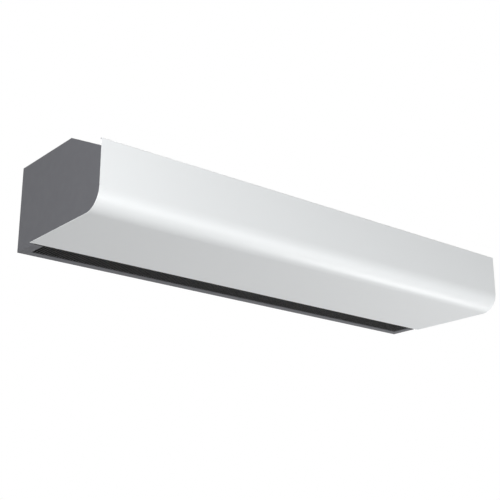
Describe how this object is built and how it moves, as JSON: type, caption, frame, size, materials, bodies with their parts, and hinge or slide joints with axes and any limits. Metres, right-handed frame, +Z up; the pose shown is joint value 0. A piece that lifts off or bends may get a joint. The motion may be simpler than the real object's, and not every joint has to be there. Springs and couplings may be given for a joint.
{
  "type": "air curtain",
  "caption": "Long wall-hung air curtain with a curved hinged front cover, a sloped top intake grille, fans driven by motors inside, and a finned outlet slot at the rear underside.",
  "frame": {"origin": "below the middle of the unit's length and depth, level with its underside", "axes": "+X along the unit to the right as seen from the front, +Y back to the wall, +Z up; the front cover faces -Y"},
  "size_m": [1.56, 0.457, 0.2555],
  "materials": {
    "white_paint": "smooth white powder coat, satin to gloss",
    "grey_paint": "fine-textured mid-grey powder coat",
    "grille_paint": "fine-textured mid-grey powder coat",
    "black_paint": "matt black powder coat",
    "galvanised": "zinc-coated sheet with a faint spangle",
    "fan_plastic": "glass-filled black plastic",
    "motor_paint": "dark enamel on cast aluminium",
    "iron_core": "laminated iron with windings",
    "bright_steel": "bright zinc-plated steel",
    "zinc_screws": "zinc-plated steel",
    "board_green": "green solder mask",
    "pale_plastic": "pale grey plastic",
    "dark_plastic": "dark grey plastic",
    "cable_rubber": "black rubber"
  },
  "bodies": {
    "casing": {"rear_casing": "grey_paint", "left_end_panel": "grey_paint", "right_end_panel": "grey_paint", "front_rail": "grey_paint", "intake_grille": "grille_paint", "outlet_frame": "grey_paint", "outlet_grille": "black_paint", "outlet_wall": "black_paint", "fan_deck": "galvanised", "scroll_housing_1": "galvanised", "scroll_housing_2": "galvanised", "scroll_housing_3": "galvanised", "scroll_housing_4": "galvanised", "motor_housing_1": "motor_paint", "motor_housing_2": "motor_paint", "stator_1": "iron_core", "stator_2": "iron_core", "motor_bearings": "bright_steel", "motor_cradle_1": "galvanised", "motor_cradle_2": "galvanised", "motor_straps": "galvanised", "strap_screws": "zinc_screws", "fan_screws": "zinc_screws", "control_box": "galvanised", "control_box_lid": "galvanised", "lid_screws": "zinc_screws", "control_board": "board_green", "terminal_block": "pale_plastic", "transformer": "dark_plastic", "motor_capacitors": "pale_plastic", "motor_cable_1": "cable_rubber", "motor_cable_2": "cable_rubber", "cable_clips": "dark_plastic", "box_grommets": "cable_rubber", "cable_grommets": "cable_rubber", "suspension_nuts": "bright_steel", "casing_rivets": "bright_steel", "grille_rivets": "bright_steel", "outlet_screws": "zinc_screws", "cover_screws": "zinc_screws", "fixed_hinge_leaves": "bright_steel", "hinge_pins": "bright_steel"},
    "cover": {"front_cover": "white_paint", "cover_flange": "white_paint", "cover_ribs": "white_paint", "cover_nuts": "bright_steel", "cover_hinge_leaves": "bright_steel"},
    "fan_set_1": {"motor_shaft_1": "bright_steel", "rotor_core_1": "iron_core", "impeller_1": "fan_plastic", "impeller_2": "fan_plastic", "hub_screws_1": "zinc_screws"},
    "fan_set_2": {"motor_shaft_2": "bright_steel", "rotor_core_2": "iron_core", "impeller_3": "fan_plastic", "impeller_4": "fan_plastic", "hub_screws_2": "zinc_screws"}
  },
  "joints": [
    {"name": "cover_hinge", "type": "hinge", "parent": "casing", "child": "cover", "pos_m": [0, 0.123, 0.0048], "axis": [1, 0, 0], "range_deg": [0, 90]},
    {"name": "fan_spin_1", "type": "hinge", "parent": "casing", "child": "fan_set_1", "pos_m": [-0.365, 0.0893, 0.138], "axis": [1, 0, 0], "continuous": true},
    {"name": "fan_spin_2", "type": "hinge", "parent": "casing", "child": "fan_set_2", "pos_m": [0.365, 0.0893, 0.138], "axis": [1, 0, 0], "continuous": true}
  ]
}
